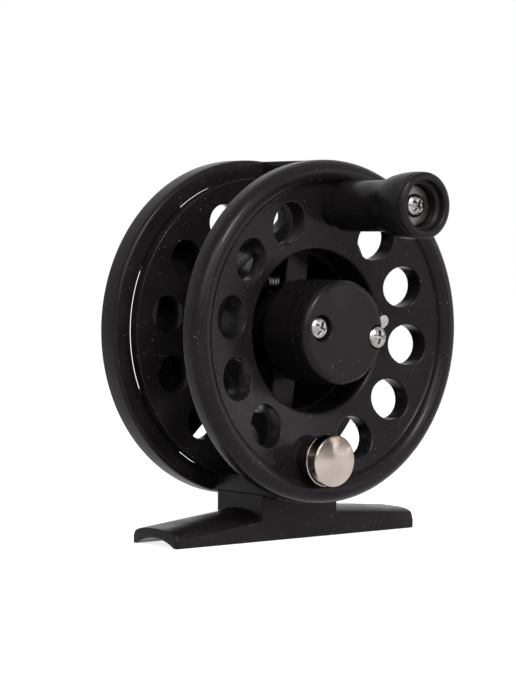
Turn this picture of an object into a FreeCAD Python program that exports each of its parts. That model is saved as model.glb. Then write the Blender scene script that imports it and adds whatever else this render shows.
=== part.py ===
import FreeCAD, Part
import math
import os

# Small inline reel: a fixed rear ring and foot, and a spool that turns in front of it.
# Shapes are drawn about the spool's axis, X to the right, Z up, with Y counted back from
# the crest of the front rim. Each is moved once at the end, so that the origin is the
# middle of the foot's underside. Lengths are in millimetres and angles in degrees.

# Clearances and fits
running_clearance = 0.05
screw_clearance = 0.02
moving_gap = 0.2
past = 1.0

# Front flange and its rolled rim
rim_radius = 32.5
rim_bead = 2.2
rim_back = 4.6
rim_edge = 0.5
flange_slope = 0.25
flange_depth_at_holes = 3.32
flange_thickness = 3.9
flange_back_step = 0.8
hole_inset = 10.47
hole_radius = 3.94
hole_places = 12
hole_pitch = 360 / hole_places
hole_phase = -7.9
hole_circle = rim_radius - hole_inset

# Arbor, in two halves that push together, and the rear flange
arbor_radius = 16.7
arbor_wall = 1.25
arbor_joint_depth = 13.2
arbor_fillet = 1.2
mouth_rounding = 0.9
spigot_length = 1.5
spigot_step = 0.6
flange_spacing = 18.1
rear_flange_thickness = 1.9
rear_flange_edge = 0.3
rear_hole_inset = 7.05
rear_hole_radius = 3.55
line_groove = 0.2
mouth_radius = arbor_radius - arbor_wall
spigot_bore = mouth_radius - 0.25
rear_flange_front = rim_back + flange_spacing
rear_flange_back = rear_flange_front + rear_flange_thickness
line_groove_depth = arbor_joint_depth + 4.0

# Rear ring, back plate and the two bars
ring_step = 0.3
ring_wall = 3.4
ring_depth = 4.75
ring_edge = 0.8
ring_gap = 0.35
bar_gap = 0.7
spool_side_gap = 0.15
plate_thickness = 2.1
plate_boss_radius = 6.5
plate_boss_height = 1.1
window_inset = 9.9
side_window_inset = 8.2
window_ledge = 1.15
bar_half_width = 9.35
top_bar_width = 9.2
top_bar_left = 3.2
bar_root_inset = 2.1
ring_radius = rim_radius + ring_step
ring_inner = ring_radius - ring_wall
ring_front = rear_flange_back + ring_gap
ring_back = ring_front + ring_depth
plate_front = ring_back - plate_thickness
plate_boss_back = ring_back + plate_boss_height
window_outer_radius = ring_inner - window_ledge
bar_radius = ring_radius
bar_front = rim_back + bar_gap
bar_root_radius = ring_inner - bar_root_inset
rear_flange_radius = ring_inner - spool_side_gap
rear_hole_circle = rear_flange_radius - rear_hole_inset

# Stem and foot
stem_drop = 7.15
stem_front_gap = 4.6
stem_depth = 13.5
stem_sink = 0.35
foot_length = 59.5
foot_width = 13.8
foot_overhang = 0.3
foot_corner = 0.6
gutter_half_width = 5.9
gutter_depth = 1.5
# The foot cut across: height at the edge, height at the crest, squareness of the crown
foot_left_tip = (1.5, 3.3, 2.4)
foot_root = (4.0, 5.6, 2.0)
foot_right_tip = (1.5, 3.9, 3.2)
axis_height = bar_radius + stem_drop
stem_front = bar_front + stem_front_gap
stem_back = stem_front + stem_depth
foot_front = stem_front - foot_overhang
foot_back = foot_front + foot_width
rim_to_foot_middle = foot_front + foot_width / 2

# Hub, its ribs and the sleeve behind them
hub_radius = 9.87
hub_face = 0.4
rib_width = 5.5
rib_front = 12.7
rib_depth = 4.3
rib_angle = hole_phase + 3 * hole_pitch
sleeve_radius = 7.2
sleeve_rise = 0.3
rib_back = rib_front + rib_depth
sleeve_back = rear_flange_back + sleeve_rise

# Spindle, bushes and washers
spindle_radius = 3.0
spindle_tip = -0.6
groove_radius = 2.2
collar_radius = 5.0
collar_thickness = 1.2
bush_wall = 1.15
bush_length = 5.2
bush_flange = 0.5
friction_thickness = 0.4
wave_thickness = 0.2
spindle_tap_radius = 1.2
bush_bore = spindle_radius + running_clearance
bush_radius = bush_bore + bush_wall
collar_front = plate_front - collar_thickness
friction_front = sleeve_back + bush_flange
friction_back = friction_front + friction_thickness

# Cap, its two screws and the latch under it
cap_thickness = 3.7
cap_rounding = 0.7
hub_seat_depth = 1.4
latch_seat_depth = 0.7
hub_screw_inset = 4.17
hub_screw_rise = 0.9
latch_inset = 1.47
latch_drop = 1.05
latch_thickness = 1.0
latch_gap = 0.15
latch_pivot_radius = 1.95
hook_width = 1.7
thumb_reach = 4.85
thumb_rise = 2.9
thumb_radius = 1.1
hub_screw_at = (hub_screw_inset - hub_radius, hub_screw_rise)
latch_at = (hub_radius - latch_inset, -latch_drop)
cap_front = hub_face - cap_thickness
hub_screw_seat = cap_front + hub_seat_depth
latch_screw_seat = cap_front + latch_seat_depth
latch_front = hub_face + latch_gap
latch_back = latch_front + latch_thickness
pocket_floor = latch_back + latch_gap
thumb_at = (latch_at[0] + thumb_reach, latch_at[1] + thumb_rise)
hook_bore = groove_radius + 0.25
hook_top = hook_bore + hook_width
latch_spring_end = 2.37 - hub_radius

# Handle and counterweight
handle_inset = 8.53
weight_inset = 8.37
post_radius = 3.0
grip_radius = 4.8
grip_mouth_radius = 6.2
grip_length = 22.92
grip_start = 1.0
grip_straight = 11.2
grip_sweep = (0.3, 2.1)
grip_sweep_end = (0.85, 4.1)
grip_swell = (1.25, 6.4)
grip_foot_bevel = 0.9
grip_seat = 4.07
handle_washer_thickness = 0.5
weight_radius = 4.95
weight_boss_radius = 3.8
weight_back = -1.6
weight_height = 3.5
handle_circle = rim_radius - handle_inset
weight_circle = rim_radius - weight_inset
grip_end = grip_start - grip_length
grip_floor = grip_end + grip_seat
post_end = grip_floor - moving_gap
weight_crest = weight_back - weight_height

# Screws: (head radius, head height, shank radius, shank length)
hub_screw = (2.25, 1.2, 1.0, 9.9)
latch_screw = (2.2, 1.1, 0.9, 9.6)
handle_screw = (2.2, 1.05, 1.0, 9.3)
weight_screw = (2.0, 1.1, 1.1, 9.05)
spindle_screw = (2.9, 1.6, spindle_tap_radius, 7.7)
gear_screw_radius = 0.55
gear_screw_head = 0.9
gear_screw_length = 4.0

# Click gear, pawl and the pawl's spring
gear_teeth = 24
gear_tip_radius = 8.0
gear_root_radius = 7.2
gear_thickness = 1.6
gear_screw_circle = 6.2
pawl_angle = 50.0
pawl_pivot = (0.5, 12.2)
pawl_thickness = 1.2
pawl_boss_radius = 1.9
pawl_pin_radius = 0.8
pawl_pin_floor = 0.7
spring_level = 9.1
spring_left = 4.3
spring_length = 4.2
spring_radius = 0.72
spring_wire = 0.36
spring_turns = 5
spring_guide = 0.38
lug_thickness = 2.0
gear_front = sleeve_back
gear_back = gear_front + gear_thickness
pawl_front = gear_front + moving_gap
pawl_back = pawl_front + pawl_thickness
spring_depth = pawl_front + pawl_thickness / 2


def vec(x, y, z):
    return FreeCAD.Vector(x, y, z)


def in_section(radius, depth):
    """A point of a turned profile, in the half plane that holds the axis."""
    return vec(radius, depth, 0)


def in_front_view(x, z):
    return vec(x, 0, z)


def in_side_view(depth, z):
    return vec(0, depth, z)


def closed_wire(start, steps, place):
    """Lines to each (a, b), and arcs for each pair of a middle point and an end point."""
    edges = []
    here = start
    for step in steps + [start]:
        if isinstance(step[0], tuple):
            middle, end = step
            edges.append(Part.Arc(place(*here), place(*middle), place(*end)).toShape())
            here = end
        elif math.dist(here, step) > 1e-6:
            edges.append(Part.makeLine(place(*here), place(*step)))
            here = step
    return Part.Wire(edges)


def dome_to_axis(edge, crest):
    """An arc from an edge point up to the crest on the axis, level at the crest."""
    rise = edge[1] - crest
    bend = (edge[0] ** 2 + rise ** 2) / (2 * rise)
    half = edge[0] / 2
    sag = abs(bend) - math.sqrt(bend ** 2 - half ** 2)
    return ((half, crest + math.copysign(sag, rise)), (0, crest))


def round_corner(start, corner, end):
    """A quarter of a round from start to end, bulging towards the corner."""
    lean = math.sqrt(0.5)
    middle = [(a + b) / 2 * (1 - lean) * 2 + c * (2 * lean - 1) for a, b, c in zip(start, end, corner)]
    return (tuple(middle), end)


def turned(start, steps):
    profile = Part.Face(closed_wire(start, steps, in_section))
    return profile.revolve(vec(0, 0, 0), vec(0, 1, 0), 360)


def plate(start, steps, front, back):
    """A flat shape seen from the front, from one depth to another."""
    face = Part.Face(closed_wire(start, steps, in_front_view))
    return face.translated(vec(0, front, 0)).extrude(vec(0, back - front, 0))


def round_bar(x, z, radius, front, back):
    return Part.makeCylinder(radius, back - front, vec(x, front, z), vec(0, 1, 0))


def box(left, right, front, back, low, high):
    return Part.makeBox(right - left, back - front, high - low, vec(left, front, low))


def polar(radius, angle):
    turn = math.radians(angle)
    return (radius * math.cos(turn), radius * math.sin(turn))


def spun(shape, angle):
    """Turned about the spool's axis, counter-clockwise as seen from the front."""
    copy = shape.copy()
    copy.rotate(vec(0, 0, 0), vec(0, -1, 0), angle)
    return copy


def shifted(shape, x, z):
    return shape.translated(vec(x, 0, z))


def flange_front(radius):
    return flange_depth_at_holes - flange_slope * (radius - hole_circle)


def flange_back(radius):
    return flange_front(radius) + flange_thickness


def pan_screw(size, seat, facing=1):
    """A pan-head screw on the axis, its head against the seat. It is driven from the
    front, or from behind where facing is -1."""
    head_radius, head_height, shank_radius, shank_length = size
    face = seat - facing * head_height
    tip = seat + facing * shank_length
    crown = (0.72 * head_radius, face + facing * 0.08 * head_height)
    edge = (head_radius, face + facing * 0.45 * head_height)
    soft = (0.92 * head_radius, face + facing * 0.2 * head_height)
    screw = turned((0, tip), [
        (0.55 * shank_radius, tip), (shank_radius, tip - facing * 0.4),
        (shank_radius, seat), (head_radius, seat), edge, (soft, crown),
        dome_to_axis(crown, face)])
    arm, slot = 0.55 * head_radius, 0.2 * head_radius
    deep = sorted((face - facing * past, face + facing * 0.65 * head_height))
    cross = box(-arm, arm, *deep, -slot, slot)
    return screw.cut(cross.fuse(spun(cross, 90)))


def screw_hole(x, z, size, front, back):
    return round_bar(x, z, size[2] + screw_clearance, front, back)


def handle_at():
    return polar(handle_circle, rib_angle)


def weight_at():
    return polar(weight_circle, rib_angle + 180)


# Rear ring, windowed back plate, two bars, stem and foot, all one moulding.
def frame_ring():
    back_edge = ring_edge / 2
    return turned((ring_inner, ring_front), [
        (ring_radius - ring_edge, ring_front),
        round_corner((ring_radius - ring_edge, ring_front), (ring_radius, ring_front),
                     (ring_radius, ring_front + ring_edge)),
        (ring_radius, ring_back - back_edge), (ring_radius - back_edge, ring_back),
        (ring_inner, ring_back)])


def window(middle, inner_half, outer_half, inset):
    """One opening between two spokes, wider towards the ring."""
    inner = ring_inner - inset
    lower = polar(inner, middle - inner_half)
    upper = polar(inner, middle + inner_half)
    outer_low = polar(window_outer_radius, middle - outer_half)
    outer_high = polar(window_outer_radius, middle + outer_half)
    return plate(lower, [
        outer_low, (polar(window_outer_radius, middle), outer_high),
        upper, (polar(inner, middle), lower)], plate_front - past, ring_back + past)


def band(outer, inner, left, right, front, back, side):
    """A piece of a tube about the axis, above it where side is 1 and below it where -1."""
    tube = round_bar(0, 0, outer, front, back).cut(round_bar(0, 0, inner, front - past, back + past))
    low, high = sorted((side * inner / 2, side * (outer + past)))
    return tube.common(box(left, right, front, back, low, high))


def bridge(left, right, side):
    """A bar from behind the front rim back to the ring, and its thicker root in the plate."""
    root_outer = ring_inner + ring_wall / 4
    bar = band(bar_radius, ring_inner, left, right, bar_front, ring_back - ring_edge, side)
    root = band(root_outer, bar_root_radius, left, right, plate_front, ring_back, side)
    return bar.fuse(root)


def foot_section(x, size):
    """Upright edges and a crown between a half ellipse and a box with rounded corners."""
    edge, crest, squareness = size
    bottom = -axis_height
    points = []
    for step in range(25):
        across, up = polar(1, 180 * step / 24)
        across = math.copysign(abs(across) ** (2 / squareness), across)
        up = abs(up) ** (2 / squareness)
        points.append(in_side_view(rim_to_foot_middle + across * foot_width / 2,
                                   bottom + edge + up * (crest - edge)))
    crown = Part.BSplineCurve()
    crown.interpolate(points)
    corners = [points[-1], in_side_view(foot_front, bottom), in_side_view(foot_back, bottom), points[0]]
    sides = [Part.makeLine(a, b) for a, b in zip(corners, corners[1:])]
    return Part.Wire([crown.toShape()] + sides).translated(vec(x, 0, 0))


def foot():
    bottom = -axis_height
    end = foot_length / 2
    middle = rim_to_foot_middle
    left_tip = foot_section(-end, foot_left_tip)
    left_root = foot_section(-bar_half_width, foot_root)
    right_root = foot_section(bar_half_width, foot_root)
    right_tip = foot_section(end, foot_right_tip)
    body = Part.makeLoft([left_tip, left_root], True, True)
    body = body.fuse(Part.makeLoft([left_root, right_root], True, True))
    body = body.fuse(Part.makeLoft([right_root, right_tip], True, True))
    gutter = Part.Face(closed_wire((middle - gutter_half_width, bottom), [
        ((middle, bottom + gutter_depth), (middle + gutter_half_width, bottom))], in_side_view))
    gutter = gutter.translated(vec(-end - past, 0, 0)).extrude(vec(foot_length + 2 * past, 0, 0))
    gutter = gutter.fuse(box(-end - past, end + past, middle - gutter_half_width,
                             middle + gutter_half_width, bottom - past, bottom))
    top = bottom + foot_root[1] + past
    plan = box(-end, end, foot_front, foot_back, bottom - past, top)
    upright = [edge for edge in plan.Edges if edge.BoundBox.ZLength > foot_root[1]]
    return body.cut(gutter).common(plan.makeFillet(foot_corner, upright))


def stem():
    """The block between the lower bar and the foot."""
    low = -axis_height + foot_root[0] - stem_sink
    top = -math.sqrt(bar_radius ** 2 - bar_half_width ** 2) + ring_wall / 3
    block = box(-bar_half_width, bar_half_width, stem_front, stem_back, low, top)
    inner = bar_radius - ring_wall / 3
    return block.cut(round_bar(0, 0, inner, stem_front - past, stem_back + past))


def pawl_lug():
    """The block the pawl's spring pushes against, with a stub inside the coil."""
    face = spring_left + spring_length + running_clearance
    half_width = spring_radius + spring_wire / 2 + 0.1
    half_height = half_width + 0.2
    lug = box(face, face + lug_thickness, spring_depth - half_width, plate_front + plate_thickness / 4,
              spring_level - half_height, spring_level + half_height)
    stub = Part.makeCylinder(spring_guide, 2 * past, vec(face - past, spring_depth, spring_level), vec(1, 0, 0))
    return lug.fuse(stub)


def make_frame():
    into_plate = plate_front + plate_thickness / 4
    body = frame_ring()
    disc = round_bar(0, 0, ring_inner + ring_wall / 4, plate_front, ring_back)
    for place in ((92, 24, 31.5, window_inset), (-90, 26, 33, window_inset),
                  (0, 20, 27.4, side_window_inset), (180, 20, 27.4, side_window_inset)):
        disc = disc.cut(window(*place))
    body = body.fuse(disc)
    body = body.fuse(bridge(-bar_half_width, bar_half_width, -1))
    body = body.fuse(bridge(top_bar_left, top_bar_left + top_bar_width, 1))
    body = body.fuse(round_bar(0, 0, plate_boss_radius, plate_front, plate_boss_back))
    body = body.fuse(round_bar(*pawl_pivot, pawl_boss_radius, pawl_back + moving_gap, into_plate))
    body = body.fuse(pawl_lug())
    body = body.fuse(stem())
    body = body.fuse(foot())
    body = body.cut(round_bar(0, 0, spindle_radius + screw_clearance, plate_front - past, plate_boss_back + past))
    body = body.cut(round_bar(*pawl_pivot, pawl_pin_radius + screw_clearance, pawl_back, ring_back - pawl_pin_floor))
    return body.removeSplitter()


# Steel spindle, held in the plate from behind, with a groove for the latch near its tip.
def make_spindle():
    chamfer = 0.5
    groove_front = latch_front - 0.1
    groove_back = latch_back + 0.1
    rear_end = plate_boss_back - moving_gap
    body = turned((0, spindle_tip), [
        (spindle_radius - chamfer, spindle_tip), (spindle_radius, spindle_tip + chamfer),
        (spindle_radius, groove_front), (groove_radius, groove_front),
        (groove_radius, groove_back), (spindle_radius, groove_back),
        (spindle_radius, collar_front), (collar_radius, collar_front),
        (collar_radius, plate_front), (spindle_radius, plate_front),
        (spindle_radius, rear_end), (0, rear_end)])
    tip = plate_boss_back + 0.7 - spindle_screw[3] - 0.5
    return body.cut(screw_hole(0, 0, spindle_screw, tip, rear_end + past))


def make_spindle_washer():
    front = plate_boss_back
    back = front + 0.7
    outer = plate_boss_radius - 1.9
    bore = spindle_tap_radius + moving_gap
    return turned((bore, front), [(outer, front), (outer, back - moving_gap), (outer - moving_gap, back), (bore, back)])


def make_spindle_screw():
    return pan_screw(spindle_screw, plate_boss_back + 0.7, -1)


# Front half of the spool: dished flange with a rolled rim, ten holes, the handle's post,
# the counterweight's boss and the front of the arbor.
def rim_meets_flange():
    """Where the rolled rim runs into the dished face, as (radius, depth)."""
    middle = rim_radius - rim_bead
    drop = flange_front(middle) - rim_bead
    lean = 1 + flange_slope ** 2
    half = flange_slope * drop
    reach = (half - math.sqrt(half ** 2 - lean * (drop ** 2 - rim_bead ** 2))) / lean
    return (middle + reach, flange_front(middle + reach))


def bead_point(angle):
    """A point on the rolled rim, from its crest at 90 towards its outside at 0."""
    along, up = polar(rim_bead, angle)
    return (rim_radius - rim_bead + along, rim_bead - up)


def make_spool_front():
    mouth = mouth_radius + mouth_rounding
    lip = flange_front(mouth)
    socket = mouth_radius + spigot_step
    joint = arbor_joint_depth
    socket_floor = joint - spigot_length - running_clearance
    root = arbor_radius + arbor_fillet
    flat = rear_flange_radius - 0.4
    step = flat - flange_back_step
    body = turned((mouth_radius, lip + mouth_rounding), [
        round_corner((mouth_radius, lip + mouth_rounding), (mouth_radius, lip), (mouth, lip)),
        rim_meets_flange(),
        (bead_point(130), bead_point(90)), (bead_point(45), bead_point(0)),
        (rim_radius, rim_back - rim_edge), (rim_radius - rim_edge, rim_back),
        (flat, rim_back), (step, flange_back(step)), (root, flange_back(root)),
        round_corner((root, flange_back(root)), (arbor_radius, flange_back(root)),
                     (arbor_radius, flange_back(root) + arbor_fillet)),
        (arbor_radius, joint), (socket, joint), (socket, socket_floor),
        (mouth_radius, socket_floor)])
    deep = flange_back(arbor_radius)
    for place in range(hole_places):
        if place % 6 == 3:
            continue
        x, z = polar(hole_circle, hole_phase + hole_pitch * place)
        body = body.cut(round_bar(x, z, hole_radius, -past, deep + past))
    x, z = handle_at()
    inside = flange_front(handle_circle) + past
    body = body.fuse(round_bar(x, z, post_radius, post_end, inside))
    body = body.fuse(round_bar(x, z, grip_radius - grip_foot_bevel, grip_start + moving_gap, inside))
    body = body.cut(screw_hole(x, z, handle_screw, post_end - past, post_end + handle_screw[3]))
    x, z = weight_at()
    body = body.fuse(round_bar(x, z, weight_boss_radius, weight_back, inside))
    body = body.cut(screw_hole(x, z, weight_screw, weight_back - past, deep))
    return body.cut(round_bar(x, z, weight_screw[0] + moving_gap, weight_screw_seat(), deep))


# Rear half of the spool: thin flange with twelve holes, rest of the arbor, two ribs
# carrying the hub, and the sleeve behind it for the click gear.
def rib(angle):
    blade = box(hub_radius - past, spigot_bore + spigot_step, rib_front, rib_back, -rib_width / 2, rib_width / 2)
    return spun(blade, angle)


def latch_pocket():
    """The recess under the cap in which the latch swings, open at the thumb's side."""
    top = hub_face - past
    reach = groove_radius + hook_width + 2.0
    left = hub_screw_at[0] + hub_screw[2] + 0.4
    side = math.sqrt(reach ** 2 - left ** 2)
    pocket = round_bar(0, 0, spindle_radius + 2 * moving_gap, top, pocket_floor)
    pocket = pocket.fuse(plate((left, 0), [
        (left, side), ((0, reach), (reach, 0))], top, pocket_floor))
    far, high = latch_spring_end - 0.2, hook_top + 2.25
    spring_room = plate((far, hook_top - 1.05), [
        (far, hook_top + 0.45), (far / 2, high), (hook_width, high), (hook_width + 0.8, hook_top - 0.15),
        (-spindle_radius, hook_top - 1.05)], top, pocket_floor)
    room = latch_pivot_radius + 2.5 * moving_gap
    thumb_room = box(spindle_radius, hub_radius + 2 * past, top, pocket_floor,
                     latch_at[1] - room, latch_at[1] + room + thumb_rise - moving_gap / 2)
    return pocket.fuse(spring_room).fuse(thumb_room)


def make_spool_rear():
    joint = arbor_joint_depth
    spigot = mouth_radius + spigot_step - running_clearance
    fillet = 2 * rear_flange_edge
    front, back = rear_flange_front, rear_flange_back
    edge = rear_flange_edge
    groove = line_groove_depth
    tube = turned((spigot_bore, joint - spigot_length), [
        (spigot, joint - spigot_length), (spigot, joint), (arbor_radius, joint),
        (arbor_radius, groove - line_groove), (arbor_radius - line_groove, groove),
        (arbor_radius, groove + line_groove), (arbor_radius, front - fillet),
        round_corner((arbor_radius, front - fillet), (arbor_radius, front), (arbor_radius + fillet, front)),
        (rear_flange_radius - edge, front), (rear_flange_radius, front + edge),
        (rear_flange_radius, back - edge), (rear_flange_radius - edge, back),
        (spigot_bore, back)])
    for place in range(hole_places):
        x, z = polar(rear_hole_circle, hole_phase + hole_pitch * place)
        tube = tube.cut(round_bar(x, z, rear_hole_radius, front - past, back + past))
    hub_back = rib_back - moving_gap
    hub = turned((0, hub_face), [
        (hub_radius, hub_face), (hub_radius, hub_back), (sleeve_radius, hub_back + past),
        (sleeve_radius, sleeve_back), (0, sleeve_back)])
    body = tube.fuse(hub).fuse(rib(rib_angle)).fuse(rib(rib_angle + 180))
    body = body.cut(latch_pocket())
    hole = bush_radius + screw_clearance
    top = hub_face - past
    body = body.cut(round_bar(0, 0, spindle_radius + 0.5, top, sleeve_back + past))
    body = body.cut(round_bar(0, 0, hole, top, bush_front_depth() + bush_length + running_clearance))
    body = body.cut(round_bar(0, 0, hole, sleeve_back - bush_length - running_clearance, sleeve_back + past))
    body = body.cut(screw_hole(*hub_screw_at, hub_screw, top, hub_screw_seat + hub_screw[3] + 0.1))
    body = body.cut(screw_hole(*latch_at, latch_screw, top, latch_screw_seat + latch_screw[3] + 0.1))
    for x, z in gear_screw_places():
        hole = gear_screw_radius + screw_clearance
        body = body.cut(round_bar(x, z, hole, sleeve_back - gear_screw_length - 0.1, sleeve_back + past))
    return body


def bush_front_depth():
    return pocket_floor + moving_gap


def make_bush_front():
    front = bush_front_depth()
    back = front + bush_length
    return turned((bush_bore, front), [(bush_radius, front), (bush_radius, back), (bush_bore, back)])


def make_bush_rear():
    front = sleeve_back - bush_length
    back = sleeve_back + bush_flange
    return turned((bush_bore, front), [
        (bush_radius, front), (bush_radius, sleeve_back), (collar_radius, sleeve_back),
        (collar_radius, back), (bush_bore, back)])


# Light friction between the turning spool and the spindle's collar.
def make_friction_washer():
    bore = bush_bore + 0.15
    return turned((bore, friction_front), [
        (collar_radius, friction_front), (collar_radius, friction_back), (bore, friction_back)])


def make_wave_washer():
    low = friction_back + running_clearance
    swing = (collar_front - wave_thickness - screw_clearance - low) / 2

    def rim(radius):
        points = []
        for step in range(36):
            x, z = polar(radius, 10 * step)
            points.append(vec(x, low + swing + swing * math.cos(math.radians(30 * step)), z))
        curve = Part.BSplineCurve()
        curve.interpolate(points, PeriodicFlag=True)
        return Part.Wire(curve.toShape())

    sheet = Part.makeRuledSurface(rim(bush_bore + 0.25), rim(collar_radius - moving_gap))
    return sheet.extrude(vec(0, wave_thickness, 0))


# Toothed wheel on the sleeve, held by three small screws.
def gear_screw_places():
    return [polar(gear_screw_circle, pawl_angle + 120 * place) for place in range(3)]


def make_click_gear():
    pitch = 360 / gear_teeth
    points = []
    for tooth in range(gear_teeth):
        middle = pawl_angle + pitch / 2 + pitch * tooth
        points.append(polar(gear_root_radius, middle - 0.35 * pitch))
        points.append(polar(gear_tip_radius, middle - 0.13 * pitch))
        points.append(polar(gear_tip_radius, middle + 0.13 * pitch))
        points.append(polar(gear_root_radius, middle + 0.35 * pitch))
    wheel = plate(points[0], points[1:], gear_front, gear_back)
    wheel = wheel.cut(round_bar(0, 0, collar_radius + 2 * running_clearance, gear_front - past, gear_back + past))
    for x, z in gear_screw_places():
        hole = gear_screw_radius + screw_clearance
        wheel = wheel.cut(round_bar(x, z, hole, gear_front - past, gear_back))
        wheel = wheel.cut(shifted(screw_sink(screw_clearance), x, z))
    return wheel


def screw_sink(extra):
    """The cone of a sunk head, flush with the gear's back."""
    top = gear_back - gear_thickness / 4
    return turned((0, top), [
        (gear_screw_radius + extra, top), (gear_screw_head + extra, gear_back), (0, gear_back)])


def make_gear_screws():
    tip = sleeve_back - gear_screw_length
    slot = 0.12
    solids = []
    for x, z in gear_screw_places():
        screw = screw_sink(0).fuse(round_bar(0, 0, gear_screw_radius, tip, gear_back - slot))
        screw = screw.cut(box(-past, past, gear_back - 2 * slot, gear_back + past, -slot, slot))
        solids.append(shifted(screw, x, z))
    return Part.makeCompound(solids)


# Click pawl: an arm on a pin whose nose drops between the gear's teeth, and its spring.
def make_click_pawl():
    def nose(above_tip, side):
        along = polar(gear_tip_radius + above_tip, pawl_angle)
        across = polar(side, pawl_angle + 90)
        return (along[0] + across[0], along[1] + across[1])

    pin_x, pin_z = pawl_pivot
    spring_face = spring_left - 0.1
    arm = plate(nose(-0.55, 0.15), [
        nose(-0.55, -0.15), nose(0.3, -0.6), nose(1.0, -0.65),
        (spring_face + 1.3, spring_level - 1.85), (spring_face, spring_level - 1.5),
        (spring_face, spring_level + 1.2), (pin_x + 1.4, pin_z + 1.1), (pin_x - 1.4, pin_z - 1.1),
        nose(0.6, 3.1), nose(0.35, 0.62)], pawl_front, pawl_back)
    arm = arm.fuse(round_bar(pin_x, pin_z, pawl_boss_radius, pawl_front, pawl_back))
    stub = Part.makeCylinder(spring_guide, past, vec(spring_face - 0.3, spring_depth, spring_level), vec(1, 0, 0))
    hole = pawl_pin_radius + running_clearance
    return arm.fuse(stub).cut(round_bar(pin_x, pin_z, hole, pawl_front - past, pawl_back + past))


def make_pawl_pin():
    head_back = pawl_front - 0.1
    head = round_bar(*pawl_pivot, pawl_boss_radius - 0.4, head_back - 0.5, head_back)
    return head.fuse(round_bar(*pawl_pivot, pawl_pin_radius, head_back,
                               ring_back - pawl_pin_floor - 0.1))


def make_pawl_spring():
    pitch = (spring_length - spring_wire) / spring_turns
    helix = Part.makeHelix(pitch, pitch * spring_turns, spring_radius)
    ring = Part.makeCircle(spring_wire / 2, vec(spring_radius, 0, 0), vec(0, 1, 0))
    coil = Part.Wire(helix).makePipeShell([Part.Wire(ring)], True, True)
    coil.rotate(vec(0, 0, 0), vec(0, 1, 0), 90)
    print("gap between the turns of pawl_spring: %.2f mm" % (pitch - spring_wire))
    return coil.translated(vec(spring_left + spring_wire / 2, spring_depth, spring_level))


# Round cap over the hub, with a seat for each screw's head. One seat breaks out at its edge.
def make_hub_cap():
    lip = 0.15
    cap = turned((0, cap_front), [
        (hub_radius - cap_rounding, cap_front),
        round_corner((hub_radius - cap_rounding, cap_front), (hub_radius, cap_front),
                     (hub_radius, cap_front + cap_rounding)),
        (hub_radius, hub_face - lip), (hub_radius - lip, hub_face), (0, hub_face)])
    cap = cap.cut(round_bar(0, 0, spindle_radius + 2 * moving_gap, spindle_tip - 2 * moving_gap, hub_face + past))
    cap = cap.cut(round_bar(*hub_screw_at, hub_screw[0] + 0.25, cap_front - past, hub_screw_seat))
    cap = cap.cut(round_bar(*latch_at, latch_screw[0] + 0.15, cap_front - past, latch_screw_seat))
    cap = cap.cut(round_bar(*hub_screw_at, hub_screw[2] + 0.1, cap_front - past, hub_face + past))
    return cap.cut(round_bar(*latch_at, latch_screw[2] + 0.1, cap_front - past, hub_face + past))


def make_hub_screw():
    return shifted(pan_screw(hub_screw, hub_screw_seat), *hub_screw_at)


def make_latch_screw():
    return shifted(pan_screw(latch_screw, latch_screw_seat), *latch_at)


# Spool latch: a flat steel rocker; one end hooks in the spindle's groove, the other is
# the thumb tab beside the cap. A leaf spring in the pocket holds it closed.
def make_latch_lever():
    x, z = latch_at
    hook = plate(polar(hook_bore, 30), [
        (polar(hook_bore, 90), polar(hook_bore, 148)), polar(hook_top, 148),
        (polar(hook_top, 100), polar(hook_top, 40)), (x - 1.0, z + 2.05), (x - 1.6, z - 0.85)],
        latch_front, latch_back)
    tab = plate((x - 0.3, z - 1.9), [
        (x + 1.2, z - 1.5), (thumb_at[0] + 0.35, thumb_at[1] - 1.03),
        (thumb_at[0] - 0.4, thumb_at[1] + 1.02), (x - 0.9, z + 1.75)], latch_front, latch_back)
    lever = hook.fuse(tab)
    lever = lever.fuse(round_bar(x, z, latch_pivot_radius, latch_front, latch_back))
    lever = lever.fuse(round_bar(*thumb_at, thumb_radius, latch_front, latch_back))
    hole = latch_screw[2] + running_clearance
    return lever.cut(round_bar(x, z, hole, latch_front - past, latch_back + past)).removeSplitter()


def make_latch_spring():
    thick = 0.25
    end = latch_spring_end
    touch = hook_top + 0.1
    middle = end / 2 + 0.55
    return plate((end, hook_top - 0.6), [
        ((middle, hook_top + 1.0), (1.2, touch)), (1.25, touch + thick),
        ((middle - 0.05, hook_top + 1.02 + thick), (end - 0.15, hook_top - 0.6 + thick))],
        latch_front, latch_back - 0.1)


# Handle: flared grip turning on the post, kept on by a washer and screw in its mouth.
def make_handle_grip():
    bore = post_radius + running_clearance
    bevel = grip_foot_bevel
    seam = grip_end + 1.55
    groove = 0.35
    mouth = grip_mouth_radius
    waist = grip_start - grip_straight

    def flare(point):
        return (grip_radius + point[0], waist - point[1])

    grip = turned((bore, grip_start), [
        (grip_radius - bevel, grip_start), (grip_radius, grip_start - bevel),
        (grip_radius, waist), (flare(grip_sweep), flare(grip_sweep_end)),
        (flare(grip_swell), (mouth, seam)),
        (mouth - groove, seam - 0.15), (mouth - groove, seam - 0.35), (mouth, seam - 0.5),
        ((mouth - 0.2, grip_end + 0.3), (mouth - 0.7, grip_end)),
        (mouth - 1.3, grip_end), (mouth - 1.6, grip_end + 0.3), (mouth - 1.6, seam),
        (mouth - 2.3, seam + 0.3), (mouth - 2.3, grip_floor), (bore, grip_floor)])
    return shifted(grip, *handle_at())


def make_handle_washer():
    front = post_end - handle_washer_thickness
    bore = handle_screw[2] + 0.1
    outer = grip_mouth_radius - 2.6
    washer = turned((bore, front), [(outer, front), (outer, post_end), (bore, post_end)])
    return shifted(washer, *handle_at())


def make_handle_screw():
    return shifted(pan_screw(handle_screw, post_end - handle_washer_thickness), *handle_at())


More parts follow.
